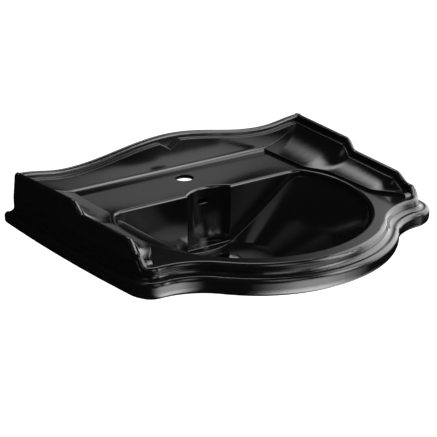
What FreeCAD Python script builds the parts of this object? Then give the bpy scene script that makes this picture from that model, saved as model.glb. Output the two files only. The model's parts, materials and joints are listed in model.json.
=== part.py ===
import FreeCAD, Part
import Sketcher
import math
import os
from FreeCAD import Placement, Rotation, Vector

# Victorian pedestal-sink basin in glazed vitreous china, with its click-clack waste.
# Frame: the wall is the plane Y = 0, the front is -Y, +X is to the right, +Z is up.
# The deck, which the bowl opens from, is Z = 0, and the basin is symmetrical about X = 0.

SIZES = {
    # plan of the deck's edge
    "front_reach": 514.5,        # wall to the deck's edge at the middle of the bow
    "bow_radius": 230.0,         # big front bow
    "shoulder_radius": 134.0,    # hollow sweep between bow and corner
    "shoulder_flat": 3.0,        # short straight between the sweep and the corner
    "corner_radius": 18.0,
    "side_back": 315.0,          # centre line to the deck's edge, at the wall
    "side_splay": 0.6,           # degrees that each side opens, at the wall
    "side_bow": 3500.0,          # each side is slightly bowed
    # moulded rim, measured outward and down from the deck's edge
    "depth_at_wall": 0.85,       # the moulding deepens from the wall to the front
    "depth_at_front": 1.11,
    "deck_thick": 11.0,
    "roll_out": 8.0,
    "roll_drop": 6.0,
    "fascia_out": 10.0,
    "fascia_drop": 12.0,
    "quirk": 1.2,                # small step back between the cap and the cove
    "cove_out": 21.0,
    "cove_drop": 16.5,
    "band_out": 28.5,
    "band_top": 23.0,
    "band_low": 33.0,
    "belly_out": 18.0,
    "belly_drop": 45.0,
    "base_out": 9.0,
    "base_drop": 50.0,
    "wall": 12.0,                # even wall of the casting
    # side wings: the lip runs down to the front in two ogee steps
    "lip_thick": 12.0,
    "lip_inset": 1.5,            # lip's centre line inside the deck's edge, at the wall
    "lip_splay": 4.28,           # degrees that the lips open towards the wall
    "lip_corner": -1.0,          # the same inset at the front corner
    "lip_band": 12.0,            # height of the lip above its inner ledge
    "ledge_width": 6.0,
    "wing_out": 9.0,             # outer face of the wing, where it meets the fascia
    "wing_back_height": 55.0,
    "wing_slope": 0.004,         # gentle fall of each run of the lip
    "step_one_start": 176.0,
    "step_one_run": 28.0,
    "step_one_drop": 18.5,
    "step_two_start": 335.0,
    "step_two_run": 31.0,
    "step_two_drop": 17.0,
    "tail_start": 374.0,
    "tail_drop": 19.0,
    "section_gap": 8.0,          # spacing of the sections that the wing is lofted through
    "tail_gap": 3.0,
    # soap ledge inside each wing
    "shelf_height": 5.0,
    "shelf_half": 216.0,         # centre line to the ledge's foot, at the wall
    "bend_one_start": 148.0,
    "bend_one_run": 58.0,
    "bend_one_out": 22.0,
    "bend_two_start": 318.0,
    "bend_two_run": 60.0,
    "bend_two_out": 33.0,
    "shelf_tilt": 6.0,           # degrees, where the coved ledge starts
    # back upstand
    "crest_height": 71.0,
    "dip_height": 45.5,
    "dip_half": 222.0,
    "cusp_half": 28.0,
    "cusp_depth": 15.0,
    "face_batter": 4.0,
    "face_cove": 12.0,
    "skirt_drop": 23.0,
    "skirt_in": 6.0,             # the skirt ends this far inside the fascia
    "lug_drop": 56.0,
    "lug_inner": 105.0,
    "lug_outer": 185.0,
    "wall_hole": 14.0,
    "wall_hole_spacing": 280.0,
    "wall_hole_drop": 38.0,
    # bowl
    "bowl_half": 230.5,
    "bowl_front": 248.5,
    "bowl_back": 184.0,
    "bowl_centre": 240.0,
    "bowl_wall_y": 148.0,        # wall to the bowl's flat back
    "bowl_flat_half": 180.0,     # centre line to the end of the flat back
    "bowl_corner": 46.0,         # rounding between the flat back and the oval
    "bowl_edge": 5.0,            # rounding of the bowl's edge
    "bowl_lip_drop": 14.0,       # short upright lip above the sloping wall
    "bowl_lip_in": 7.0,
    "bowl_foot_half": 90.0,      # where the slope meets the dished floor
    "bowl_foot_drop": 114.0,
    # overflow
    "flute_half": 48.0,
    "flute_depth": 20.0,
    "slot_width": 24.0,
    "slot_height": 9.0,
    "slot_drop": 27.0,
    "duct_width": 34.0,
    "duct_gap": 9.0,
    "duct_wall": 9.0,
    "duct_roof_drop": 139.5,
    "duct_bend": 14.0,
    # tap hole
    "tap_hole": 35.0,
    "tap_reach": 65.5,
    "tap_seat": 62.0,            # spot face for the tap's nut, under the deck
    "tap_land": 7.0,             # china left round the tap hole
    # outlet
    "outlet_reach": 205.0,
    "outlet_bore": 45.0,
    "floor_drop": 130.0,
    "boss_drop": 155.0,
    "boss_diameter": 84.0,
    # collar that the pedestal's top locates round
    "collar_half": 70.0,
    "collar_front": 240.0,
    "collar_back": 142.0,
    "collar_drop": 152.0,
    "collar_wall": 11.0,
    "collar_corner": 26.0,
    # waste
    "flange_diameter": 66.0,
    "flange_thick": 3.0,
    "seal_thick": 1.6,
    "seat_margin": 1.0,
    "thread_diameter": 41.9,
    "waste_bore": 35.0,
    "waste_length": 46.0,
    "countersink": 3.0,
    "tail_thread": 8.0,         # thread left free for the trap's nut
    "relief_width": 2.0,         # groove between the two threads
    "relief_depth": 1.2,
    "window_width": 22.0,
    "window_height": 11.0,
    "window_rise": 29.0,
    "hub_rise": 25.0,
    "hub_diameter": 21.0,
    "spoke_width": 4.0,
    "spoke_height": 8.0,
    "lower_seal_diameter": 60.0,
    "lower_seal_taper": 4.0,
    "lower_seal_height": 5.0,
    "washer_thick": 1.6,
    "nut_flats": 56.0,
    "nut_height": 7.0,
    # click latch and plug
    "sleeve_diameter": 14.0,
    "sleeve_bore": 11.0,
    "sleeve_length": 22.0,
    "sleeve_collar_diameter": 19.0,
    "sleeve_collar_thick": 2.5,
    "neck_length": 3.0,
    "end_thick": 3.0,
    "end_rim": 1.0,
    "sleeve_nut_flats": 19.0,
    "sleeve_nut_height": 4.0,
    "stem_diameter": 7.0,
    "stem_shoulder_diameter": 10.0,
    "stem_shoulder_thick": 2.0,
    "piston_thick": 4.0,
    "spring_wire": 0.9,
    "spring_turns": 5.0,
    "cap_diameter": 63.0,
    "cap_rise": 6.5,
    "cap_skirt": 1.8,
    "cap_socket": 4.0,
    "plug_seal_diameter": 44.0,
    "plug_seal_thick": 2.5,
    "plug_washer_diameter": 30.0,
    "plug_washer_thick": 1.2,
    "plug_travel": 8.0,
    "seat_gap": 0.3,
    "running_gap": 0.1,
}

doc = FreeCAD.newDocument("pedestal_basin")
dims = doc.addObject("Spreadsheet::Sheet", "dims")
for row, (alias, value) in enumerate(SIZES.items(), start=1):
    dims.set("A%d" % row, alias)
    dims.set("B%d" % row, str(value))
    dims.setAlias("B%d" % row, alias)
doc.recompute()


def dim(name):
    """Value of one cell of the sheet."""
    return float(dims.get(name))


def bind(item, prop, text):
    """Bind one property of an object to the sheet: words in braces are cells."""
    item.setExpression(prop, text.replace("{", "dims.").replace("}", ""))


# --- plan of the rim -----------------------------------------------------------------

def along_side(angle, offset=0.0):
    """Point on the right side's bowed edge, at an angle in radians below the +X axis."""
    radius = dim("side_bow") + offset
    return SIDE + Vector(radius * math.cos(angle), -radius * math.sin(angle), 0)


def side_angle(y, offset=0.0):
    """Angle of the point of the right side at one distance in front of the wall."""
    return math.asin((SIDE.y - y) / (dim("side_bow") + offset))


def plan_points():
    """Centres of the side, the bow, the hollow shoulder and the corner, and the bow's angle."""
    splay = math.radians(dim("side_splay"))
    turn = dim("side_bow") - dim("corner_radius")
    side = Vector(dim("side_back") - dim("side_bow") * math.cos(splay), dim("side_bow") * math.sin(splay), 0)
    span = dim("bow_radius") + dim("shoulder_radius")
    corner_line = -dim("front_reach")
    for _ in range(20):
        corner_y = corner_line + dim("corner_radius")
        corner_x = side.x + math.sqrt(turn ** 2 - (side.y - corner_y) ** 2)
        angle = math.asin((corner_x - dim("shoulder_flat")) / span)
        corner_line = -dim("front_reach") + span * (1 - math.cos(angle))
    bow = Vector(0, -dim("front_reach") + dim("bow_radius"), 0)
    shoulder = bow + Vector(span * math.sin(angle), -span * math.cos(angle), 0)
    corner = Vector(corner_x, corner_line + dim("corner_radius"), 0)
    return side, bow, shoulder, corner, angle


SIDE, BOW, SHOULDER, CORNER, BOW_ANGLE = plan_points()
CORNER_ANGLE = math.atan2(SIDE.y - CORNER.y, CORNER.x - SIDE.x)


def arc(centre, radius, start, end):
    """Arc about a vertical axis between two angles in degrees."""
    mid = (start + end) / 2
    points = []
    for degrees in (start, mid, end):
        turn = math.radians(degrees)
        points.append(centre + Vector(radius * math.cos(turn), radius * math.sin(turn), 0))
    return Part.Arc(*points).toShape()


def mirrored(edge):
    return edge.mirror(Vector(0, 0, 0), Vector(1, 0, 0))


def rim_edges(offset, back):
    """Edges of the rim's plan, from the right end to the left, offset outward."""
    bow_turn = math.degrees(BOW_ANGLE)
    side_turn = math.degrees(CORNER_ANGLE)
    wall_turn = math.degrees(side_angle(back, offset))
    corner_start = CORNER - Vector(0, dim("corner_radius") + offset, 0)
    sweep_end = SHOULDER + Vector(0, dim("shoulder_radius") - offset, 0)
    half = [
        arc(SIDE, dim("side_bow") + offset, -wall_turn, -side_turn),
        arc(CORNER, dim("corner_radius") + offset, -side_turn, -90),
        Part.makeLine(corner_start, sweep_end),
        arc(SHOULDER, dim("shoulder_radius") - offset, 90, 90 + bow_turn),
        arc(BOW, dim("bow_radius") + offset, -90 + bow_turn, -90),
    ]
    other = [mirrored(edge) for edge in reversed(half)]
    return half + other


def rim_face(offset, back):
    """Closed plan of the rim at one offset."""
    edges = rim_edges(offset, back)
    start = along_side(side_angle(back, offset), offset)
    closing = Part.makeLine(Vector(-start.x, start.y, 0), start)
    wire = Part.Wire(Part.__sortEdges__(edges + [closing]))
    return Part.Face(wire)


def cap_wire(origin, outward):
    """Section of the rim's cap, in the plane of outward and Z: rolled edge over a fascia."""

    def at(out, up):
        return origin + outward * out + Vector(0, 0, up)

    wall = dim("wall")
    low = -dim("fascia_drop")
    roll = dim("roll_out"), -dim("roll_drop")
    return Part.Wire([
        Part.makeLine(at(-wall, 0), at(0, 0)),
        Part.Arc(at(0, 0), at(0.7 * roll[0], 0.3 * roll[1]), at(*roll)).toShape(),
        Part.makeLine(at(*roll), at(dim("fascia_out"), low)),
        Part.makeLine(at(dim("fascia_out"), low), at(-wall, low)),
        Part.makeLine(at(-wall, low), at(-wall, 0)),
    ])


def apron_wire(origin, outward, depth):
    """Section of the hollow apron under the cap: quirk, cove, broad band and belly."""

    def at(out, up):
        return origin + outward * out + Vector(0, 0, up)

    wall = dim("wall")
    top = -0.7 * dim("fascia_drop")
    quirk = dim("fascia_out") - dim("quirk"), -dim("fascia_drop") * depth
    cove = dim("cove_out"), -dim("cove_drop") * depth
    band = dim("band_out")
    band_top = -dim("band_top") * depth
    band_low = -dim("band_low") * depth
    belly = dim("belly_out"), -dim("belly_drop") * depth
    base = dim("base_out"), -dim("base_drop") * depth
    inner_base = base[0] - 0.8 * wall, base[1]
    inner_band = band - 1.2 * wall
    inner_top = quirk[0] - 1.2 * wall
    return Part.Wire([
        Part.makeLine(at(inner_top, top), at(quirk[0], top)),
        Part.makeLine(at(quirk[0], top), at(*quirk)),
        Part.Arc(
            at(*quirk),
            at(quirk[0] + 0.25 * (cove[0] - quirk[0]), quirk[1] + 0.72 * (cove[1] - quirk[1])),
            at(*cove),
        ).toShape(),
        Part.Arc(
            at(*cove),
            at(cove[0] + 0.75 * (band - cove[0]), cove[1] + 0.33 * (band_top - cove[1])),
            at(band, band_top),
        ).toShape(),
        Part.makeLine(at(band, band_top), at(band, band_low)),
        Part.Arc(
            at(band, band_low),
            at(band - 0.28 * (band - belly[0]), band_low + 0.62 * (belly[1] - band_low)),
            at(*belly),
        ).toShape(),
        Part.makeLine(at(*belly), at(*base)),
        Part.makeLine(at(*base), at(*inner_base)),
        Part.makeLine(at(*inner_base), at(inner_band, band_low)),
        Part.makeLine(at(inner_band, band_low), at(inner_band, band_top)),
        Part.makeLine(at(inner_band, band_top), at(inner_top, cove[1] - 0.5 * wall)),
        Part.makeLine(at(inner_top, cove[1] - 0.5 * wall), at(inner_top, top)),
    ])


OVERRUN = 6.0   # the rim's sweeps start this far behind the wall and are cut flush


def swept(wires):
    """Solid swept round the sides and the serpentine front through a few sections."""
    pipe = Part.BRepOffsetAPI.MakePipeShell(Part.Wire(rim_edges(0, OVERRUN)))
    pipe.setBiNormalMode(Vector(0, 0, 1))
    for wire in wires:
        pipe.add(wire, False, False)
    pipe.build()
    pipe.makeSolid()
    return pipe.shape()


def rim_shapes():
    """Deck plate, the cap round its edge and the apron that hangs from the cap."""
    angle = side_angle(OVERRUN)
    start = along_side(angle)
    outward = Vector(math.cos(angle), -math.sin(angle), 0)
    sections = [
        (start, outward, dim("depth_at_wall")),
        (Vector(0, -dim("front_reach"), 0), Vector(0, -1, 0), dim("depth_at_front")),
        (Vector(-start.x, start.y, 0), Vector(-outward.x, outward.y, 0), dim("depth_at_wall")),
    ]
    cap = swept([cap_wire(start, outward)])
    apron = swept([apron_wire(*section) for section in sections])
    deck = rim_face(0, OVERRUN).extrude(Vector(0, 0, -dim("deck_thick")))
    return deck, cap, apron


# --- wings ---------------------------------------------------------------------------


def ease(value):
    """Smooth step from 0 to 1."""
    value = min(max(value, 0.0), 1.0)
    return value * value * (3 - 2 * value)


def lip_height(reach):
    """Height of the wing's lip at a distance from the wall."""
    height = dim("wing_back_height") - dim("wing_slope") * reach
    height -= dim("step_one_drop") * ease((reach - dim("step_one_start")) / dim("step_one_run"))
    height -= dim("step_two_drop") * ease((reach - dim("step_two_start")) / dim("step_two_run"))
    height -= dim("tail_drop") * ease((reach - dim("tail_start")) / (-CORNER.y + 0.7 * dim("corner_radius") - dim("tail_start")))
    return height


def shelf_foot(reach):
    """Distance from the centre line to the foot of the soap ledge."""
    foot = dim("shelf_half")
    foot += dim("bend_one_out") * ease((reach - dim("bend_one_start")) / dim("bend_one_run"))
    foot += dim("bend_two_out") * ease((reach - dim("bend_two_start")) / dim("bend_two_run"))
    return foot


def side_x(reach, offset):
    """Right side of the rim's plan at a distance from the wall."""
    radius = dim("corner_radius") + offset
    if -reach < CORNER.y - radius * math.sin(CORNER_ANGLE):
        return CORNER.x + math.sqrt(max(radius ** 2 - (reach + CORNER.y) ** 2, 0.0))
    return along_side(side_angle(-reach, offset), offset).x


def ridge_x(reach):
    """Centre line of the right wing's lip, which comes out to the rim at the corner."""
    held = min(reach, dim("step_two_start"))
    straight = dim("side_back") - dim("lip_inset") - math.tan(math.radians(dim("lip_splay"))) * held
    inset = side_x(held, 0) - straight
    near = ease((reach - held) / (-CORNER.y - held))
    return side_x(reach, -(inset + (dim("lip_corner") - inset) * near))


def wing_section(reach):
    """Closed section of the right wing: soap ledge, inner ledge, lip and outer face."""

    def at(x, z):
        return Vector(x, -reach, z)

    half_lip = dim("lip_thick") / 2
    top = lip_height(reach)
    ridge = ridge_x(reach)
    bottom = -dim("deck_thick") + 1
    foot = min(shelf_foot(reach), ridge - half_lip - 6)
    ledge_z = max(top - dim("lip_band"), dim("shelf_height") + 1)
    ledge_z = min(ledge_z, top - half_lip - 1)
    shelf_z = min(dim("shelf_height"), ledge_z - 1)
    ledge_x = max(ridge - half_lip - dim("ledge_width"), foot + 3)
    ledge_x = min(ledge_x, ridge - half_lip - 1)
    run = ledge_x - foot
    rise = ledge_z - shelf_z
    slope = min(math.tan(math.radians(dim("shelf_tilt"))), 0.5 * rise / run)
    mid = at(foot + 0.5 * run, shelf_z + 0.5 * (0.5 * rise + 0.5 * run * slope))
    face_z = min(10.0, top - half_lip - 1)
    outer = side_x(reach, dim("wing_out"))
    edges = [
        Part.makeLine(at(foot, bottom), at(foot, shelf_z)),
        Part.Arc(at(foot, shelf_z), mid, at(ledge_x, ledge_z)).toShape(),
        Part.makeLine(at(ledge_x, ledge_z), at(ridge - half_lip, ledge_z)),
        Part.makeLine(at(ridge - half_lip, ledge_z), at(ridge - half_lip, top - half_lip)),
        Part.Arc(at(ridge - half_lip, top - half_lip), at(ridge, top), at(ridge + half_lip, top - half_lip)).toShape(),
        Part.makeLine(at(ridge + half_lip, top - half_lip), at(outer, min(face_z, top - half_lip - 1))),
        Part.makeLine(at(outer, min(face_z, top - half_lip - 1)), at(outer, bottom)),
        Part.makeLine(at(outer, bottom), at(foot, bottom)),
    ]
    return Part.Wire(edges)


def stations(first, last, gap):
    """Evenly spaced distances from the wall, about one gap apart."""
    count = round((last - first) / gap)
    return [first + (last - first) * index / count for index in range(count + 1)]


def wing_shape():
    """Right wing: a smooth run through the two steps, and the tail that dies at the corner."""
    steps = stations(-OVERRUN, dim("tail_start"), dim("section_gap"))
    tail = stations(dim("tail_start"), -CORNER.y + 0.7 * dim("corner_radius"), dim("tail_gap"))
    run = Part.makeLoft([wing_section(reach) for reach in steps], True, False)
    end = Part.makeLoft([wing_section(reach) for reach in tail], True, True)
    return run.fuse(end)


# --- back upstand --------------------------------------------------------------------


def crest_height(x):
    """Height of the back's scalloped crest at a distance from the centre line."""
    x = abs(x)
    if x < dim("dip_half"):
        middle = (dim("crest_height") + dim("dip_height")) / 2
        return middle + (dim("crest_height") - dim("dip_height")) / 2 * math.cos(math.pi * x / dim("dip_half"))
    run = dim("side_back") - dim("lip_inset") - dim("dip_half")
    middle = (dim("wing_back_height") + dim("dip_height")) / 2
    turn = min((x - dim("dip_half")) / run, 1.0)
    return middle - (dim("wing_back_height") - dim("dip_height")) / 2 * math.cos(math.pi * turn)


def crest_curve(lower, y, half):
    """Smooth crest line, lowered by a given amount."""
    count = 12
    points = []
    for step in range(-count, count + 1):
        x = half * step / count
        points.append(Vector(x, y, crest_height(x) - lower))
    curve = Part.BSplineCurve()
    curve.interpolate(points)
    return curve.toShape()


def back_wall_shape():
    """The lip of the back: a wall under the scalloped crest, its top rounded over."""
    half = dim("side_back") - dim("lip_inset") + dim("lip_thick") / 2 - 2
    bottom = -dim("deck_thick") + 1
    crest = crest_curve(0, 0, half)
    ends = Vector(-half, 0, crest_height(half)), Vector(half, 0, crest_height(half))
    feet = Vector(-half, 0, bottom), Vector(half, 0, bottom)
    wire = Part.Wire([
        crest,
        Part.makeLine(ends[1], feet[1]),
        Part.makeLine(feet[1], feet[0]),
        Part.makeLine(feet[0], ends[0]),
    ])
    wall = Part.Face(wire).extrude(Vector(0, -dim("lip_thick"), 0))
    top_edges = [
        edge for edge in wall.Edges
        if edge.BoundBox.XLength > half and edge.BoundBox.ZLength > 1
    ]
    return wall.makeFillet(0.47 * dim("lip_thick"), top_edges)


def back_mass_shape():
    """Thick coved foot of the back, with its ledge and the pointed cusp in the middle."""
    half = dim("side_back") - 4
    ledge = dim("lip_thick") + dim("ledge_width")
    foot = ledge + dim("face_batter")
    cove = dim("face_cove")
    top = dim("crest_height") + 5
    bottom = -dim("deck_thick") + 1

    def at(reach, z):
        return Vector(-half, -reach, z)

    section = Part.Wire([
        Part.makeLine(at(3, bottom), at(3, top)),
        Part.makeLine(at(3, top), at(ledge, top)),
        Part.makeLine(at(ledge, top), at(foot, cove)),
        Part.Arc(at(foot, cove), at(foot + 0.293 * cove, 0.293 * cove), at(foot + cove, 0)).toShape(),
        Part.makeLine(at(foot + cove, 0), at(foot + cove, bottom)),
        Part.makeLine(at(foot + cove, bottom), at(3, bottom)),
    ])
    mass = Part.Face(section).extrude(Vector(2 * half, 0, 0))
    line = crest_curve(dim("lip_band"), 0, half)
    ends = line.Vertexes[0].Point, line.Vertexes[-1].Point
    lid = Part.Face(Part.Wire([
        line,
        Part.makeLine(ends[1], Vector(ends[1].x, 0, top + 20)),
        Part.makeLine(Vector(ends[1].x, 0, top + 20), Vector(ends[0].x, 0, top + 20)),
        Part.makeLine(Vector(ends[0].x, 0, top + 20), ends[0]),
    ])).extrude(Vector(0, -80, 0))
    cusp_top = dim("crest_height") - dim("lip_band") + 2
    cusp = Part.Face(Part.makePolygon([
        Vector(-dim("cusp_half"), 0, cusp_top),
        Vector(0, 0, cusp_top - 2 - dim("cusp_depth")),
        Vector(dim("cusp_half"), 0, cusp_top),
        Vector(-dim("cusp_half"), 0, cusp_top),
    ])).extrude(Vector(0, -80, 0))
    return mass.cut(lid).cut(cusp)


# --- bowl ----------------------------------------------------------------------------



def funnel_profile(grow):
    """Half section of the bowl in the XZ plane: rolled edge, straight slope, dished floor."""
    edge = dim("bowl_edge")
    across = dim("bowl_half") + grow
    lip = across - dim("bowl_lip_in"), -dim("bowl_lip_drop")
    foot = dim("bowl_foot_half") + 0.6 * grow, -dim("bowl_foot_drop") - 0.8 * grow
    floor = dim("outlet_bore") / 2 + 4, -dim("floor_drop") - grow

    def at(radius, z):
        return Vector(radius, 0, z)

    if grow > 0:
        start = at(across, -1)
        top = [Part.makeLine(at(0, -1), start), Part.makeLine(start, at(across, -edge))]
    else:
        rolled = across + edge
        roll = Part.Arc(at(rolled, 0), at(across + 0.293 * edge, -0.293 * edge), at(across, -edge))
        top = [
            Part.makeLine(at(0, 1), at(rolled, 1)),
            Part.makeLine(at(rolled, 1), at(rolled, 0)),
            roll.toShape(),
        ]
    slope = Vector(foot[0] - lip[0], 0, foot[1] - lip[1]).normalize()
    shoulder = Part.BezierCurve()
    shoulder.setPoles([at(across, -edge), at(across, -0.8 * dim("bowl_lip_drop")), at(*lip), at(*lip) + slope * 12])
    bend = Part.BezierCurve()
    bend.setPoles([at(*foot), at(*foot) + slope * 12, at(floor[0] + 20, floor[1] + 2), at(*floor)])
    return Part.Wire(top + [
        shoulder.toShape(),
        Part.makeLine(at(*lip) + slope * 12, at(*foot)),
        bend.toShape(),
        Part.makeLine(at(*floor), at(0, floor[1])),
        Part.makeLine(at(0, floor[1]), top[0].Vertexes[0].Point),
    ])


def funnel_half(grow, side, reach):
    """Half of the oval funnel, turned and stretched so that it leans back to the outlet."""
    half = Part.Face(funnel_profile(grow)).revolve(Vector(0, 0, 0), Vector(0, 0, 1), side * 180)
    lean = (dim("bowl_centre") - dim("outlet_reach")) / dim("floor_drop")
    matrix = FreeCAD.Matrix()
    matrix.A22 = (reach + grow) / (dim("bowl_half") + grow)
    matrix.A23 = -lean
    matrix.A24 = -dim("bowl_centre")
    return half.transformGeometry(matrix)


def bowl_front(grow):
    return funnel_half(grow, -1, dim("bowl_front"))


def bowl_back(grow):
    return funnel_half(grow, 1, dim("bowl_back"))


def extruded(points, half):
    """Solid of a closed YZ outline of straight and curved pieces, as wide as 2 half."""
    wire = Part.Wire([edge for edge in points])
    return Part.Face(wire).extrude(Vector(2 * half, 0, 0))


def rolled_outline(at, inner, reach):
    """Closed outline of a tool that flares over the bowl's rolled edge at one reach."""
    edge = dim("bowl_edge")
    low = -2 * dim("floor_drop")
    high = dim("floor_drop") / 2
    return [
        Part.makeLine(at(inner, low), at(reach, low)),
        Part.makeLine(at(reach, low), at(reach, -edge)),
        Part.Arc(at(reach, -edge), at(reach + 0.293 * edge, -0.293 * edge), at(reach + edge, 0)).toShape(),
        Part.makeLine(at(reach + edge, 0), at(reach + edge, high)),
        Part.makeLine(at(reach + edge, high), at(inner, high)),
        Part.makeLine(at(inner, high), at(inner, low)),
    ]


def back_limit(grow):
    """Space in front of the bowl's flat back, with its rounded corners and rolled top edge."""
    half = dim("bowl_flat_half")
    corner = dim("bowl_corner")
    centre = -dim("bowl_wall_y") - corner
    far = -dim("front_reach") - 60
    flat = extruded(rolled_outline(lambda out, z: Vector(-half, out, z), far, grow - dim("bowl_wall_y")), half)
    pieces = []
    for side in (1, -1):
        profile = rolled_outline(lambda out, z: Vector(side * half + out, centre, z), 0, corner + grow)
        turned = Part.Face(Part.Wire(profile))
        pieces.append(turned.revolve(Vector(side * half, centre, 0), Vector(0, 0, 1), 360))
    front = Part.makeBox(
        2 * dim("side_back"), centre + 8 - far, 2.5 * dim("floor_drop"),
        Vector(-dim("side_back"), far, -2 * dim("floor_drop")))
    return flat.fuse(pieces + [front])


def flute_centre():
    """Distance from the wall of the flute's axis, and the flute's radius."""
    radius = (dim("flute_half") ** 2 + dim("flute_depth") ** 2) / (2 * dim("flute_depth"))
    return dim("bowl_wall_y") - dim("flute_depth") + radius, radius


def flute_tool():
    """Upright hollow channel in the bowl's back, with the same rolled edge on top."""
    reach, radius = flute_centre()
    profile = Part.Wire(rolled_outline(lambda out, z: Vector(out, -reach, z), 0, radius))
    return Part.Face(profile).revolve(Vector(0, -reach, 0), Vector(0, 0, 1), 360)


def duct_shape(grow):
    """Overflow duct behind the bowl: straight down, round a bend and forward to the outlet."""
    near = dim("bowl_wall_y") - dim("flute_depth") - dim("wall") + grow
    far = near - dim("duct_gap") - 2 * grow
    roof = -dim("duct_roof_drop") + grow
    floor = -dim("duct_roof_drop") - dim("duct_gap") if grow == 0 else -dim("boss_drop")
    top = -dim("slot_drop") + dim("slot_height") if grow == 0 else -1.0
    bend = dim("duct_bend") + grow
    half = dim("duct_width") / 2 + grow
    slant = 0.293 * bend

    def at(reach, z):
        return Vector(-half, -reach, z)

    return extruded([
        Part.makeLine(at(near, top), at(far, top)),
        Part.makeLine(at(far, top), at(far, floor + bend)),
        Part.Arc(at(far, floor + bend), at(far + slant, floor + slant), at(far + bend, floor)).toShape(),
        Part.makeLine(at(far + bend, floor), at(dim("outlet_reach"), floor)),
        Part.makeLine(at(dim("outlet_reach"), floor), at(dim("outlet_reach"), roof)),
        Part.makeLine(at(dim("outlet_reach"), roof), at(near, roof)),
        Part.makeLine(at(near, roof), at(near, top)),
    ], half)


def rounded_plate(half, front, back, corner, low, high):
    """Upright block with a rounded-rectangle plan between two heights."""
    edges = []
    corners = [(half, -back, 0), (-half, -back, 90), (-half, -front, 180), (half, -front, 270)]
    arcs = []
    for x, y, start in corners:
        centre = Vector(x - math.copysign(corner, x), y + (corner if y == -front else -corner), low)
        arcs.append(arc(centre, corner, start, start + 90))
    for index, piece in enumerate(arcs):
        follower = arcs[(index + 1) % 4]
        edges.append(piece)
        edges.append(Part.makeLine(piece.Vertexes[-1].Point, follower.Vertexes[0].Point))
    return Part.Face(Part.Wire(edges)).extrude(Vector(0, 0, high - low))


def collar_shape():
    """Ground seat under the bowl that stands in the top of the pedestal."""
    low = -dim("collar_drop")
    high = -dim("bowl_foot_drop") - dim("wall") + 12
    wall = dim("collar_wall")
    half = dim("collar_half")
    front = dim("collar_front")
    back = dim("collar_back")
    corner = dim("collar_corner")
    outer = rounded_plate(half, front, back, corner, low, high)
    inner = rounded_plate(half - wall, front - wall, back + wall, corner - wall, low - 5, high + 5)
    return outer.cut(inner)


def slot_tool():
    """Overflow opening: a long rounded hole through the flute's wall, with eased lips."""
    start = dim("bowl_wall_y") - dim("flute_depth")
    radius = dim("slot_height") / 2
    reach = dim("slot_width") / 2 - radius

    def at(x, z):
        return Vector(x, -start - 6, -dim("slot_drop") + z)

    outline = Part.Wire([
        Part.makeLine(at(-reach, radius), at(reach, radius)),
        Part.Arc(at(reach, radius), at(reach + radius, 0), at(reach, -radius)).toShape(),
        Part.makeLine(at(reach, -radius), at(-reach, -radius)),
        Part.Arc(at(-reach, -radius), at(-reach - radius, 0), at(-reach, radius)).toShape(),
    ])
    return Part.Face(outline).extrude(Vector(0, 6 + dim("wall") + dim("duct_gap") / 2, 0))


def solid_feature(name, shape):
    """Keep a moulded form as a feature of the document."""
    feature = doc.addObject("Part::Feature", name)
    feature.Shape = shape
    return feature


def joined(name, members):
    fusion = doc.addObject("Part::MultiFuse", name)
    fusion.Shapes = members
    return fusion


def cut(name, base, tool):
    difference = doc.addObject("Part::Cut", name)
    difference.Base = base
    difference.Tool = tool
    return difference


def common(name, base, tool):
    shared = doc.addObject("Part::Common", name)
    shared.Base = base
    shared.Tool = tool
    return shared


def box(name, x, y, z, length, width, height):
    """A box whose corner and sides are expressions of the sheet."""
    item = doc.addObject("Part::Box", name)
    bind(item, "Length", length)
    bind(item, "Width", width)
    bind(item, "Height", height)
    bind(item, "Placement.Base.x", x)
    bind(item, "Placement.Base.y", y)
    bind(item, "Placement.Base.z", z)
    return item


def drum(name, radius, height, x, y, z, axis=None):
    """A cylinder whose size and foot are expressions of the sheet."""
    item = doc.addObject("Part::Cylinder", name)
    if axis is not None:
        item.Placement = Placement(Vector(), Rotation(Vector(0, 0, 1), axis))
    bind(item, "Radius", radius)
    bind(item, "Height", height)
    bind(item, "Placement.Base.x", x)
    bind(item, "Placement.Base.y", y)
    bind(item, "Placement.Base.z", z)
    return item


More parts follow.
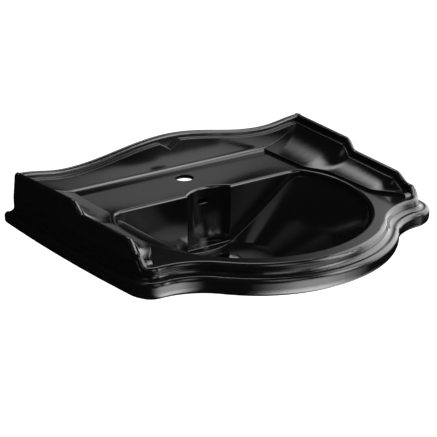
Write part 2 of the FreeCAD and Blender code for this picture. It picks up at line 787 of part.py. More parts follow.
def make_basin():
    """The glazed casting: rim, wings, back, bowl, overflow and fixings."""
    deck, cap, apron = rim_shapes()
    wing = wing_shape()
    other_wing = wing.mirror(Vector(0, 0, 0), Vector(1, 0, 0))
    reach, radius = flute_centre()
    outside = [
        solid_feature("deck_plate", deck),
        solid_feature("rim_cap", cap),
        solid_feature("rim_apron", apron),
        solid_feature("right_wing", wing),
        solid_feature("left_wing", other_wing),
        solid_feature("back_lip", back_wall_shape()),
        solid_feature("back_foot", back_mass_shape()),
        solid_feature("shell_front", bowl_front(dim("wall"))),
        common("shell_back", solid_feature("shell_back_form", bowl_back(dim("wall"))),
               solid_feature("shell_limit", back_limit(dim("wall")))),
        box("back_skirt", "-({side_back} + {fascia_out} - {skirt_in})", "-{wall}", "-{skirt_drop}",
            "2 * ({side_back} + {fascia_out} - {skirt_in})", "{wall}", "{skirt_drop} - 1"),
        box("right_lug", "{lug_inner}", "-{wall}", "-{lug_drop}",
            "{lug_outer} - {lug_inner}", "{wall}", "{lug_drop} - 1"),
        box("left_lug", "-{lug_outer}", "-{wall}", "-{lug_drop}",
            "{lug_outer} - {lug_inner}", "{wall}", "{lug_drop} - 1"),
        common("flute_case",
               solid_feature("flute_round", Part.makeCylinder(
                   radius + dim("wall"), dim("floor_drop") - 2, Vector(0, -reach, 1 - dim("floor_drop")))),
               box("flute_case_limit", "-{flute_half} - {wall}", "-{bowl_wall_y}", "-{floor_drop}",
                   "2 * ({flute_half} + {wall})", "{flute_depth} + {wall} + 1", "{floor_drop}")),
        solid_feature("duct_case", duct_shape(dim("duct_wall"))),
        solid_feature("pedestal_collar", collar_shape()),
        drum("outlet_boss", "{boss_diameter} / 2", "{boss_drop} - {floor_drop} - 6", "0",
             "-{outlet_reach}", "-{boss_drop}"),
    ]
    body = joined("basin_outside", outside)
    hollows = [
        solid_feature("bowl_front_hollow", bowl_front(0)),
        common("bowl_back_hollow", solid_feature("bowl_back_form", bowl_back(0)),
               solid_feature("bowl_limit", back_limit(0))),
        common("flute_hollow", solid_feature("flute_form", flute_tool()),
               box("flute_limit", "-{flute_half} - 12", "-{bowl_wall_y} - 26", "-{floor_drop} + 20",
                   "2 * {flute_half} + 24", "{flute_depth} + 40", "{floor_drop} + 10")),
        solid_feature("overflow_slot", slot_tool()),
        solid_feature("overflow_duct", duct_shape(0)),
        drum("tap_hole_cut", "{tap_hole} / 2", "{deck_thick} + 60", "0", "-{tap_reach}", "-40"),
        drum("tap_spot_face", "{tap_seat} / 2", "20", "0", "-{tap_reach}", "-{tap_land} - 20"),
        drum("outlet_cut", "{outlet_bore} / 2", "80", "0", "-{outlet_reach}", "-{boss_drop} - 20"),
        drum("outlet_seat", "{flange_diameter} / 2 + {seat_margin}", "30", "0", "-{outlet_reach}",
             "-{floor_drop} - {flange_thick} - {seal_thick}"),
        drum("right_wall_hole", "{wall_hole} / 2", "{wall} + 20", "{wall_hole_spacing} / 2", "-{wall} - 10",
             "-{wall_hole_drop}", Vector(0, 1, 0)),
        drum("left_wall_hole", "{wall_hole} / 2", "{wall} + 20", "-{wall_hole_spacing} / 2", "-{wall} - 10",
             "-{wall_hole_drop}", Vector(0, 1, 0)),
        box("wall_plane", "-400", "0", "-300", "800", "40", "500"),
    ]
    basin = cut("basin", body, joined("basin_hollows", hollows))
    basin.Label = "basin"
    return basin


# --- waste ---------------------------------------------------------------------------

# Heights, as text, of the pieces of the waste on the outlet's axis.
SEAT = "(-{floor_drop} - {flange_thick} - {seal_thick})"
FLANGE_UNDER = "(-{floor_drop} - {flange_thick})"
TAIL = "(-{floor_drop} - {flange_thick} - {waste_length})"
HUB_TOP = TAIL[:-1] + " + {hub_rise} + {spoke_height})"
SLEEVE_FOOT = HUB_TOP[:-1] + " - {sleeve_length})"
NECK_UNDER = HUB_TOP[:-1] + " + {sleeve_collar_thick} - {neck_length})"
CAP_UNDER = "(-{floor_drop} + {seat_gap} + {plug_travel} + {plug_seal_thick})"


def place(item, height):
    """Stand an object on the outlet's axis."""
    bind(item, "Placement.Base.y", "-{outlet_reach}")
    bind(item, "Placement.Base.z", height)
    return item


def new_body(label, height):
    body = doc.addObject("PartDesign::Body", label)
    body.Label = label
    place(body, height)
    return body


def plane(body, role):
    """One of the body's own origin planes."""
    for feature in body.Origin.OriginFeatures:
        if feature.Role == role:
            return feature
    raise ValueError(role)


def outline(body, name, role, points):
    """Closed sketch whose corners are expressions of the sheet; "0" lies on an axis."""
    sketch = body.newObject("Sketcher::SketchObject", name)
    sketch.AttachmentSupport = [(plane(body, role), "")]
    sketch.MapMode = "FlatFace"
    count = len(points)
    rough = []
    for index in range(count):
        turn = 2 * math.pi * index / count
        rough.append(Vector(20 + 9 * math.cos(turn), 20 + 9 * math.sin(turn), 0))
    for index in range(count):
        sketch.addGeometry(Part.LineSegment(rough[index], rough[(index + 1) % count]), False)
    for index in range(count):
        sketch.addConstraint(Sketcher.Constraint("Coincident", index, 2, (index + 1) % count, 1))
    for index, (across, up) in enumerate(points):
        for kind, text, axis in (("DistanceX", across, -2), ("DistanceY", up, -1)):
            if text == "0":
                sketch.addConstraint(Sketcher.Constraint("PointOnObject", index, 1, axis))
            else:
                number = sketch.addConstraint(Sketcher.Constraint(kind, -1, 1, index, 1, 10.0 + index))
                bind(sketch, "Constraints[%d]" % number, text)
    return sketch


def turn(body, name, points, kind="PartDesign::Revolution"):
    """Turn an outline of radii and heights about the body's axis."""
    sketch = outline(body, name + "_outline", "XZ_Plane", points)
    feature = body.newObject(kind, name)
    feature.Profile = sketch
    feature.ReferenceAxis = (sketch, ["V_Axis"])
    feature.Angle = 360
    return feature


def ring(label, height, inner, outer, thick):
    """Flat ring that stands on a given height."""
    body = new_body(label, height)
    turn(body, label + "_turned", [(inner, "0"), (outer, "0"), (outer, thick), (inner, thick)])
    return body


THREAD_CLEAR = "{thread_diameter} / 2 + {running_gap}"


def make_waste_body():
    """Slotted waste: flange, threaded tube, two windows and the bridge with its hub."""
    body = new_body("waste_body", TAIL)
    tube = "{thread_diameter} / 2"
    bore = "{waste_bore} / 2"
    top = "{waste_length} + {flange_thick}"
    turn(body, "waste_turned", [
        (bore, "0"), (tube, "0"), (tube, "{waste_length}"),
        ("{flange_diameter} / 2", "{waste_length}"),
        ("{flange_diameter} / 2", "{waste_length} + {flange_thick} / 3"),
        ("{flange_diameter} / 2 - {flange_thick}", top),
        (bore + " + {countersink}", top), (bore, top + " - {countersink}"),
    ])
    window = outline(body, "window_outline", "XZ_Plane", [
        ("-{window_width} / 2", "{window_rise}"), ("{window_width} / 2", "{window_rise}"),
        ("{window_width} / 2", "{window_rise} + {window_height}"),
        ("-{window_width} / 2", "{window_rise} + {window_height}"),
    ])
    windows = body.newObject("PartDesign::Pocket", "windows")
    windows.Profile = window
    windows.Type = "ThroughAll"
    windows.Midplane = True
    bar = outline(body, "bridge_outline", "XZ_Plane", [
        ("-" + bore + " - 1", "{hub_rise}"), (bore + " + 1", "{hub_rise}"),
        (bore + " + 1", "{hub_rise} + {spoke_height}"), ("-" + bore + " - 1", "{hub_rise} + {spoke_height}"),
    ])
    bridge = body.newObject("PartDesign::Pad", "bridge")
    bridge.Profile = bar
    bridge.Midplane = True
    bind(bridge, "Length", "{spoke_width}")
    hub_top = "{hub_rise} + {spoke_height}"
    turn(body, "hub", [
        ("0", "{hub_rise}"), ("{hub_diameter} / 2", "{hub_rise}"), ("{hub_diameter} / 2", hub_top), ("0", hub_top),
    ])
    clear = "{sleeve_diameter} / 2 + {running_gap}"
    turn(body, "hub_bore", [
        ("0", "{hub_rise} - 1"), (clear, "{hub_rise} - 1"), (clear, hub_top + " + 1"), ("0", hub_top + " + 1"),
    ], "PartDesign::Groove")
    relief_top = "{tail_thread} + {relief_width}"
    turn(body, "thread_relief", [
        (tube + " - {relief_depth}", "{tail_thread}"), (tube + " + 1", "{tail_thread}"),
        (tube + " + 1", relief_top), (tube + " - {relief_depth}", relief_top),
    ], "PartDesign::Groove")
    return body


def make_hex_nut(label, height, flats, thick, bore):
    """Hexagon nut with turned corners."""
    blank = doc.addObject("Part::Prism", label + "_hexagon")
    blank.Polygon = 6
    bind(blank, "Circumradius", flats + " / sqrt(3)")
    bind(blank, "Height", thick)
    bevel = doc.addObject("Part::Cone", label + "_bevel")
    bind(bevel, "Radius1", flats + " * 0.51 + " + thick + " * 1.7")
    bind(bevel, "Radius2", flats + " * 0.51")
    bind(bevel, "Height", thick)
    hole = doc.addObject("Part::Cylinder", label + "_bore")
    bind(hole, "Radius", bore)
    bind(hole, "Height", thick)
    nut = cut(label, common(label + "_blank", blank, bevel), hole)
    nut.Label = label
    return place(nut, height)


def make_lower_seal():
    """Thick tapered rubber washer under the basin."""
    body = new_body("lower_seal", "-{boss_drop} - {lower_seal_height}")
    low = "{lower_seal_diameter} / 2"
    turn(body, "lower_seal_turned", [
        (THREAD_CLEAR, "0"), (low, "0"), (low, "{lower_seal_height} / 3"),
        (low + " - {lower_seal_taper}", "{lower_seal_height}"), (THREAD_CLEAR, "{lower_seal_height}"),
    ])
    return body


def make_cartridge_sleeve():
    """Threaded sleeve of the click latch, hung in the hub by its collar."""
    body = new_body("cartridge_sleeve", SLEEVE_FOOT)
    outer = "{sleeve_diameter} / 2"
    inner = "{sleeve_bore} / 2"
    collar = "{sleeve_collar_diameter} / 2"
    neck = "{stem_diameter} / 2 + {running_gap}"
    top = "{sleeve_length} + {sleeve_collar_thick}"
    shoulder = top + " - {neck_length}"
    turn(body, "sleeve_turned", [
        (inner, "0"), (outer, "0"), (outer, "{sleeve_length}"), (collar, "{sleeve_length}"), (collar, top),
        (neck, top), (neck, shoulder), (inner, shoulder),
    ])
    return body


def make_cartridge_end():
    """Screwed end of the sleeve, which the spring stands on."""
    body = new_body("cartridge_end", SLEEVE_FOOT[:-1] + " - {end_rim})")
    rim = "{sleeve_diameter} / 2"
    plug = "{sleeve_bore} / 2 - {running_gap}"
    turn(body, "end_turned", [
        ("0", "0"), (rim, "0"), (rim, "{end_rim}"), (plug, "{end_rim}"),
        (plug, "{end_rim} + {end_thick}"), ("0", "{end_rim} + {end_thick}"),
    ])
    return body


def make_plunger():
    """Stem of the plug: piston in the sleeve, rod through its neck, shoulder under the plug."""
    body = new_body("plunger", NECK_UNDER[:-1] + " - {piston_thick})")
    rod = "{stem_diameter} / 2"
    piston = "{sleeve_bore} / 2 - {running_gap}"
    shoulder = "{stem_shoulder_diameter} / 2"
    cap_under = CAP_UNDER + " - " + NECK_UNDER + " + {piston_thick}"
    seat = cap_under + " - {plug_seal_thick} - {plug_washer_thick}"
    turn(body, "plunger_turned", [
        ("0", "0"), (piston, "0"), (piston, "{piston_thick}"), (rod, "{piston_thick}"),
        (rod, seat + " - {stem_shoulder_thick}"), (shoulder, seat + " - {stem_shoulder_thick}"),
        (shoulder, seat), (rod, seat), (rod, cap_under + " + {cap_socket} - {seat_gap}"),
        ("0", cap_under + " + {cap_socket} - {seat_gap}"),
    ])
    return body


def make_return_spring():
    """Coil that lifts the plug, between the screwed end and the piston."""
    wire = dim("spring_wire")
    mean = (dim("sleeve_bore") - wire) / 2 - 2 * dim("running_gap")
    foot = dim("end_thick")
    head = dim("sleeve_length") + dim("sleeve_collar_thick") - dim("neck_length") - dim("piston_thick")
    height = head - foot - wire - 2 * dim("running_gap")
    helix = Part.makeHelix(height / dim("spring_turns"), height, mean)
    section = Part.Wire(Part.makeCircle(wire / 2, Vector(mean, 0, 0), Vector(0, 1, 0)))
    coil = Part.Wire(helix).makePipeShell([section], True, True)
    spring = solid_feature("return_spring", coil)
    spring.Label = "return_spring"
    return place(spring, SLEEVE_FOOT[:-1] + " + {end_thick} + {spring_wire} / 2 + {running_gap})")


def make_plug_cap():
    """Domed metal cap that hides the flange."""
    body = new_body("plug_cap", CAP_UNDER[:-1] + " - {cap_skirt})")
    edge = "{cap_diameter} / 2"
    inner = "{plug_seal_diameter} / 2 + 2"
    socket = "{stem_diameter} / 2 + {running_gap}"
    sketch_points = [
        (socket, "{cap_skirt}"), (inner, "{cap_skirt}"), (inner, "0"), (edge + " - 1", "0"), (edge, "1"),
        (edge + " - 0.5", "{cap_skirt} + 0.8"),
        (edge + " * 0.86", "{cap_skirt} + {cap_rise} * 0.5"), (edge + " * 0.66", "{cap_skirt} + {cap_rise} * 0.77"),
        (edge + " * 0.36", "{cap_skirt} + {cap_rise} * 0.95"), ("0", "{cap_skirt} + {cap_rise}"),
        ("0", "{cap_skirt} + {cap_socket}"), (socket, "{cap_skirt} + {cap_socket}"),
    ]
    turn(body, "cap_turned", sketch_points)
    return body


def make_waste():
    """Every piece of the waste, from the flange down and then the plug."""
    return [
        make_waste_body(),
        ring("flange_seal", SEAT, THREAD_CLEAR, "{flange_diameter} / 2 - {seat_margin}", "{seal_thick}"),
        make_lower_seal(),
        ring("friction_washer", "-{boss_drop} - {lower_seal_height} - {washer_thick}", THREAD_CLEAR,
             "{lower_seal_diameter} / 2", "{washer_thick}"),
        make_hex_nut("backnut", "-{boss_drop} - {lower_seal_height} - {washer_thick} - {nut_height}",
                     "{nut_flats}", "{nut_height}", THREAD_CLEAR),
        make_cartridge_sleeve(),
        make_cartridge_end(),
        make_hex_nut("cartridge_nut", HUB_TOP + " - {spoke_height} - {sleeve_nut_height}",
                     "{sleeve_nut_flats}", "{sleeve_nut_height}", "{sleeve_diameter} / 2 + {running_gap}"),
        make_plunger(),
        make_return_spring(),
        make_plug_cap(),
        ring("plug_seal", CAP_UNDER + " - {plug_seal_thick}", "{stem_diameter} / 2 + {running_gap}",
             "{plug_seal_diameter} / 2", "{plug_seal_thick}"),
        ring("plug_washer", CAP_UNDER + " - {plug_seal_thick} - {plug_washer_thick}",
             "{stem_diameter} / 2 + {running_gap}", "{plug_washer_diameter} / 2", "{plug_washer_thick}"),
    ]


def main():
    """Build every piece, check it and write it out."""
    parts = [make_basin()] + make_waste()
    doc.recompute()
    bad = [item.Name for item in doc.Objects if "Invalid" in item.State or "Error" in item.State]
    if bad:
        raise RuntimeError("features that failed: " + ", ".join(bad))
    for part in parts:
        if part.Shape.isNull() or not part.Shape.isValid():
            raise RuntimeError("bad shape: " + part.Label)
    os.makedirs("parts", exist_ok=True)
    for part in parts:
        part.Shape.exportStep("parts/%s.step" % part.Label)
        bounds = part.Shape.BoundBox
        print("%-18s solids %d  volume %.1f  z %.2f to %.2f" % (
            part.Label, len(part.Shape.Solids), part.Shape.Volume, bounds.ZMin, bounds.ZMax))


main()
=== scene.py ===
import json
import logging
import math
from dataclasses import dataclass, field
from enum import Enum
from typing import Any

import bmesh
import bpy
from mathutils import Matrix, Vector


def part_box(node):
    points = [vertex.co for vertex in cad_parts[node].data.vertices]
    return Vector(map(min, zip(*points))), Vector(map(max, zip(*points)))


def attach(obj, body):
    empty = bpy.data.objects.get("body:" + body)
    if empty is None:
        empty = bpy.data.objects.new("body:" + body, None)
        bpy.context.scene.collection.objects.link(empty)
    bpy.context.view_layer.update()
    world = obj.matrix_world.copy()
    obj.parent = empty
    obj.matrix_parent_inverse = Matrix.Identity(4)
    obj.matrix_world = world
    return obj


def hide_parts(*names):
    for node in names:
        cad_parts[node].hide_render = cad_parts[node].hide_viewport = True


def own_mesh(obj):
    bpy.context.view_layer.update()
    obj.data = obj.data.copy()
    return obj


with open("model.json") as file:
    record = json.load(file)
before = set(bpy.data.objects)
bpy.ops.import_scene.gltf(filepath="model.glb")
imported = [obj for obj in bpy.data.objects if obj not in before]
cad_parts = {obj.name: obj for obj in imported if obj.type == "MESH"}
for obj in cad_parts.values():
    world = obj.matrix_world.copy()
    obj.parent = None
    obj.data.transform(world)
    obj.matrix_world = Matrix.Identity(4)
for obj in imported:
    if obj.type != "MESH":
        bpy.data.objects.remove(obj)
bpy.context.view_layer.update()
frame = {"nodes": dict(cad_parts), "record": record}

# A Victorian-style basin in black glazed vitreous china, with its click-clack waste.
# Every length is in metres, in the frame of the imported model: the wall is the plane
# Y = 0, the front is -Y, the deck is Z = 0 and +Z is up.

MM = 0.001
LOG = logging.getLogger("basin")

Tree = bpy.types.NodeTree
Socket = bpy.types.NodeSocket
Material = bpy.types.Material
Piece = bpy.types.Object

# settings of nodes that come up again and again
SMOOTH = {"interpolation_type": "SMOOTHSTEP"}    # it falls where From Min is over From Max
MULTIPLY = {"operation": "MULTIPLY"}
SUBTRACT = {"operation": "SUBTRACT"}
LARGER = {"operation": "MAXIMUM"}
DEGREES = {"operation": "DEGREES"}
COLOURS = {"data_type": "RGBA"}                  # its colours are inputs 6 and 7, and output 2
WAVE_REPEAT = 0.314                              # a wave texture of scale 1 repeats over this length


# --- tools ----------------------------------------------------------------------------


def mount(name: str) -> dict[str, Any]:
    """Find one of the places where the basin meets another product.

    Args:
        name: the mount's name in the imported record.

    Returns:
        The record's entry of the mount.
    """
    return next(entry for entry in frame["record"]["mounts"] if entry["name"] == name)


def linear(code: str) -> tuple[float, float, float, float]:
    """Turn an sRGB hex colour into linear values.

    Args:
        code: six hex digits, with or without a leading #.

    Returns:
        Linear red, green, blue and an alpha of one.
    """
    code = code.lstrip("#")
    channels = []
    for start in (0, 2, 4):
        value = int(code[start:start + 2], 16) / 255
        channels.append(value / 12.92 if value <= 0.04045 else ((value + 0.055) / 1.055) ** 2.4)
    return channels[0], channels[1], channels[2], 1.0


WHITE = linear("#FFFFFF")


def add(tree: Tree, kind: str, settings: dict[str, str | int] | None = None,
        **inputs: Socket | float | tuple[float, ...]) -> bpy.types.Node:
    """Add a node with its settings, its socket values and its links.

    Args:
        tree: node tree that takes the node.
        kind: Blender's class name of the node.
        settings: attributes to set on the node itself.
        **inputs: socket names, with spaces as underscores or an index as "i0", and for
            each a value or the output socket that feeds it.

    Returns:
        The new node.
    """
    node = tree.nodes.new(kind)
    for name, value in (settings or {}).items():
        setattr(node, name, value)
    for name, value in inputs.items():
        socket = node.inputs[int(name[1:])] if name[1:].isdigit() else node.inputs[name.replace("_", " ")]
        if isinstance(value, Socket):
            tree.links.new(value, socket)
        else:
            socket.default_value = value
    return node


def blank_material(name: str) -> tuple[Material, Tree, Socket]:
    """Start a material that has only its output.

    Args:
        name: name of the material.

    Returns:
        The material, its node tree and the surface socket to feed.
    """
    material = bpy.data.materials.new(name)
    material.use_nodes = True
    tree = material.node_tree
    tree.nodes.clear()
    output = add(tree, "ShaderNodeOutputMaterial")
    return material, tree, output.inputs["Surface"]


# --- finishes -------------------------------------------------------------------------


class Slot(Enum):
    """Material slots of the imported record."""

    GLAZE = "black_glaze"
    CHROME = "chrome"
    BRASS = "brass"
    RUBBER = "rubber"
    NYLON = "nylon"
    SPRING = "spring_steel"


@dataclass(frozen=True)
class BlackGlaze:
    """Vitreous china, cast, sprayed with a black glaze and fired to a full gloss.

    The glaze rounds every edge and flows into a faint ripple, and the seats that were
    ground flat after the firing show the pale clay.
    """

    glaze: str = "#0A0A0B"
    thin_glaze: str = "#17130F"         # brownish where the spray was thin, under the basin
    clay: str = "#B9B2A4"
    clay_shade: str = "#A89F8E"
    ior: float = 1.65                   # over plain glass, for a glaze rich in metal oxides
    clay_ior: float = 1.5
    roughness: float = 0.14
    thin_roughness: float = 0.28
    clay_roughness: float = 0.8
    edge_mm: float = 2.2                # rounding that the glaze gives an edge
    ripple_mm: float = 22.0             # orange peel left as the glaze flows
    ripple_depth_mm: float = 0.05
    grit_mm: float = 0.8                # grinding scratches, drawn coarse enough to show
    grit_depth_mm: float = 0.2
    spray_mm: float = 60.0              # patches of the spray under the basin
    spray_from: float = 0.35            # level of the patches where the glaze starts to thin
    spray_full: float = 0.65
    seat_edge_mm: float = 0.5           # the clay shows this far up from the pedestal's seat
    wall_edge_mm: float = 0.4           # and this far forward from the wall
    fade_mm: float = 0.2                # length over which the glaze ends there
    ground_from: float = 0.7            # part of the normal that faces the grinding table
    ground_full: float = 0.9
    thin_top: float = -0.055            # height under which the spray starts to thin
    thin_low: float = -0.075
    under_from: float = -0.1            # upward part of the normal where the underside starts
    under_full: float = -0.6

    def ground(self, tree: Tree) -> Socket:
        """Mask the seats that were ground after the firing.

        Args:
            tree: node tree of the glaze.

        Returns:
            A socket that is one on the ground seats and nought on the glaze.
        """
        coordinates = add(tree, "ShaderNodeTexCoord").outputs
        place = add(tree, "ShaderNodeSeparateXYZ", Vector=coordinates["Object"]).outputs
        facing = add(tree, "ShaderNodeSeparateXYZ", Vector=coordinates["Normal"]).outputs
        seat_z = mount("pedestal_seat")["pos_m"][2] + self.seat_edge_mm * MM
        wall_y = mount("wall_face")["pos_m"][1] - self.wall_edge_mm * MM
        low, down, far, back = [
            add(tree, "ShaderNodeMapRange", SMOOTH, Value=value, From_Min=nought, From_Max=one).outputs[0]
            for value, nought, one in (
                (place["Z"], seat_z + self.fade_mm * MM, seat_z),
                (facing["Z"], -self.ground_from, -self.ground_full),
                (place["Y"], wall_y - self.fade_mm * MM, wall_y),
                (facing["Y"], self.ground_from, self.ground_full))]
        seat = add(tree, "ShaderNodeMath", MULTIPLY, i0=low, i1=down)
        wall = add(tree, "ShaderNodeMath", MULTIPLY, i0=far, i1=back)
        return add(tree, "ShaderNodeMath", LARGER, i0=seat.outputs[0], i1=wall.outputs[0]).outputs[0]

    def thin(self, tree: Tree) -> Socket:
        """Mask the underside, where the spray was thin and patchy.

        Args:
            tree: node tree of the glaze.

        Returns:
            A socket that is one where the glaze is thin.
        """
        coordinates = add(tree, "ShaderNodeTexCoord").outputs
        place = add(tree, "ShaderNodeSeparateXYZ", Vector=coordinates["Object"]).outputs
        facing = add(tree, "ShaderNodeSeparateXYZ", Vector=coordinates["Normal"]).outputs
        spray = add(tree, "ShaderNodeTexNoise", Vector=coordinates["Object"], Scale=1 / (self.spray_mm * MM),
                    Detail=4.0)
        down, low, patchy = [
            add(tree, "ShaderNodeMapRange", SMOOTH, Value=value, From_Min=nought, From_Max=one).outputs[0]
            for value, nought, one in (
                (facing["Z"], self.under_from, self.under_full),
                (place["Z"], self.thin_top, self.thin_low),
                (spray.outputs["Fac"], self.spray_from, self.spray_full))]
        under = add(tree, "ShaderNodeMath", MULTIPLY, i0=down, i1=low)
        return add(tree, "ShaderNodeMath", MULTIPLY, i0=under.outputs[0], i1=patchy).outputs[0]

    def glazed(self, tree: Tree) -> Socket:
        """Shade the glaze: a black mirror, rounded at the edges and faintly rippled.

        Args:
            tree: node tree of the glaze.

        Returns:
            The glaze's shader socket.
        """
        place = add(tree, "ShaderNodeTexCoord").outputs["Object"]
        edges = add(tree, "ShaderNodeBevel", {"samples": 6}, Radius=self.edge_mm * MM)
        ripple = add(tree, "ShaderNodeTexNoise", Vector=place, Scale=1 / (self.ripple_mm * MM), Detail=1.5)
        bump = add(tree, "ShaderNodeBump", Height=ripple.outputs["Fac"], Strength=1.0,
                   Distance=self.ripple_depth_mm * MM, Normal=edges.outputs["Normal"])
        thin = self.thin(tree)
        gloss = add(tree, "ShaderNodeMapRange", Value=thin, To_Min=self.roughness, To_Max=self.thin_roughness)
        tone = add(tree, "ShaderNodeMix", COLOURS, i0=thin, i6=linear(self.glaze), i7=linear(self.thin_glaze))
        shader = add(tree, "ShaderNodeBsdfPrincipled", Base_Color=tone.outputs[2], IOR=self.ior,
                     Roughness=gloss.outputs["Result"], Normal=bump.outputs["Normal"])
        return shader.outputs["BSDF"]

    def bare(self, tree: Tree) -> Socket:
        """Shade the ground clay: pale, matt and finely scratched.

        Args:
            tree: node tree of the glaze.

        Returns:
            The clay's shader socket.
        """
        place = add(tree, "ShaderNodeTexCoord").outputs["Object"]
        grit = add(tree, "ShaderNodeTexNoise", Vector=place, Scale=1 / (self.grit_mm * MM), Detail=3.0)
        scratched = add(tree, "ShaderNodeBump", Height=grit.outputs["Fac"], Strength=0.5,
                        Distance=self.grit_depth_mm * MM)
        tone = add(tree, "ShaderNodeMix", COLOURS, i0=grit.outputs["Fac"], i6=linear(self.clay_shade),
                   i7=linear(self.clay))
        shader = add(tree, "ShaderNodeBsdfPrincipled", Base_Color=tone.outputs[2], IOR=self.clay_ior,
                     Roughness=self.clay_roughness, Normal=scratched.outputs["Normal"])
        return shader.outputs["BSDF"]

    def build(self) -> Material:
        """Lay the glaze over the clay, and leave the ground seats bare.

        Returns:
            The material.
        """
        material, tree, surface = blank_material("black_glazed_vitreous_china")
        mix = add(tree, "ShaderNodeMixShader", i0=self.ground(tree), i1=self.glazed(tree), i2=self.bare(tree))
        tree.links.new(mix.outputs["Shader"], surface)
        return material


@dataclass(frozen=True)
class Metal:
    """Metal that was turned, plated or drawn: fine rings, and stain or polish in patches."""

    name: str
    colour: str
    stain: str
    roughness: float
    ring_mm: float                      # one ring or one groove, drawn coarse enough to show
    ring_depth_mm: float
    patch_mm: float = 9.0
    stain_from: float = 0.4             # level of the patches where the stain starts
    stain_full: float = 0.75
    polished: float = 0.7               # share of the roughness in the best polished patches
    dulled: float = 1.4                 # and in the dullest

    def build(self) -> Material:
        """Shade the metal.

        Returns:
            The material.
        """
        material, tree, surface = blank_material(self.name)
        place = add(tree, "ShaderNodeTexCoord").outputs["Object"]
        rings = add(tree, "ShaderNodeTexWave", {"wave_type": "BANDS", "bands_direction": "Z"}, Vector=place,
                    Scale=WAVE_REPEAT / (2 * self.ring_mm * MM), Distortion=0.4, Detail=1.0)
        bump = add(tree, "ShaderNodeBump", Height=rings.outputs["Fac"], Strength=0.4,
                   Distance=self.ring_depth_mm * MM)
        patch = add(tree, "ShaderNodeTexNoise", Vector=place, Scale=1 / (self.patch_mm * MM), Detail=4.0)
        stained = add(tree, "ShaderNodeMapRange", SMOOTH, Value=patch.outputs["Fac"],
                      From_Min=self.stain_from, From_Max=self.stain_full)
        tone = add(tree, "ShaderNodeMix", COLOURS, i0=stained.outputs["Result"], i6=linear(self.colour),
                   i7=linear(self.stain))
        gloss = add(tree, "ShaderNodeMapRange", Value=patch.outputs["Fac"],
                    To_Min=self.roughness * self.polished, To_Max=self.roughness * self.dulled)
        shader = add(tree, "ShaderNodeBsdfPrincipled", Base_Color=tone.outputs[2], Metallic=1.0,
                     Roughness=gloss.outputs["Result"], Normal=bump.outputs["Normal"])
        tree.links.new(shader.outputs["BSDF"], surface)
        return material


@dataclass(frozen=True)
class Moulded:
    """Moulded rubber or nylon: one colour, with the mould's fine grain and a dusty bloom."""

    name: str
    colour: str
    bloom: str
    ior: float
    roughness: float
    grain_mm: float
    grain_depth_mm: float
    dust_mm: float = 14.0
    dust_from: float = 0.45             # level of the dust's patches where the bloom starts
    dust_full: float = 0.8

    def build(self) -> Material:
        """Shade the moulding.

        Returns:
            The material.
        """
        material, tree, surface = blank_material(self.name)
        place = add(tree, "ShaderNodeTexCoord").outputs["Object"]
        grain = add(tree, "ShaderNodeTexNoise", Vector=place, Scale=1 / (self.grain_mm * MM), Detail=2.0)
        bump = add(tree, "ShaderNodeBump", Height=grain.outputs["Fac"], Strength=0.5,
                   Distance=self.grain_depth_mm * MM)
        dust = add(tree, "ShaderNodeTexNoise", Vector=place, Scale=1 / (self.dust_mm * MM), Detail=5.0)
        dusty = add(tree, "ShaderNodeMapRange", SMOOTH, Value=dust.outputs["Fac"],
                    From_Min=self.dust_from, From_Max=self.dust_full)
        tone = add(tree, "ShaderNodeMix", COLOURS, i0=dusty.outputs["Result"], i6=linear(self.colour),
                   i7=linear(self.bloom))
        shader = add(tree, "ShaderNodeBsdfPrincipled", Base_Color=tone.outputs[2], IOR=self.ior,
                     Roughness=self.roughness, Normal=bump.outputs["Normal"])
        tree.links.new(shader.outputs["BSDF"], surface)
        return material


# nickel-chrome on brass: a cold mirror with a trace of the polishing wheel
CHROME_PLATE = Metal("chrome_plated_brass", "#D7D9DC", "#C4C6CA", roughness=0.07, ring_mm=0.35,
                     ring_depth_mm=0.001)
# machined from bar: warm yellow, with the tool's rings left on it
TURNED_BRASS = Metal("turned_brass", "#D2AE62", "#B08A48", roughness=0.24, ring_mm=0.30,
                     ring_depth_mm=0.006)
# cold-drawn stainless wire: grey and faintly streaked
DRAWN_STEEL = Metal("drawn_stainless_wire", "#B4B6B9", "#9A9CA0", roughness=0.28, ring_mm=0.12,
                    ring_depth_mm=0.002)
# compression-moulded nitrile: dull black with a grey bloom
NITRILE = Moulded("moulded_nitrile_rubber", "#1B1B1D", "#2E2E30", ior=1.52, roughness=0.62,
                  grain_mm=0.35, grain_depth_mm=0.02)
# injection-moulded natural nylon: milky, half matt
NYLON = Moulded("moulded_natural_nylon", "#E4DFD0", "#D6D0BE", ior=1.53, roughness=0.42,
                grain_mm=0.25, grain_depth_mm=0.008)


def dress(node: str, finish: Material) -> None:
    """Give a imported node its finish.

    Args:
        node: the node's name.
        finish: its material.
    """
    slots = frame["nodes"][node].data.materials
    slots.clear()
    slots.append(finish)
    LOG.info("%s: %s", node, finish.name)


# --- basin and waste ------------------------------------------------------------------


@dataclass
class Basin:
    """The china casting."""

    node: str = "basin"

    def build(self, finishes: dict[Slot, Material]) -> None:
        """Dress the casting in the glaze."""
        dress(self.node, finishes[Slot.GLAZE])


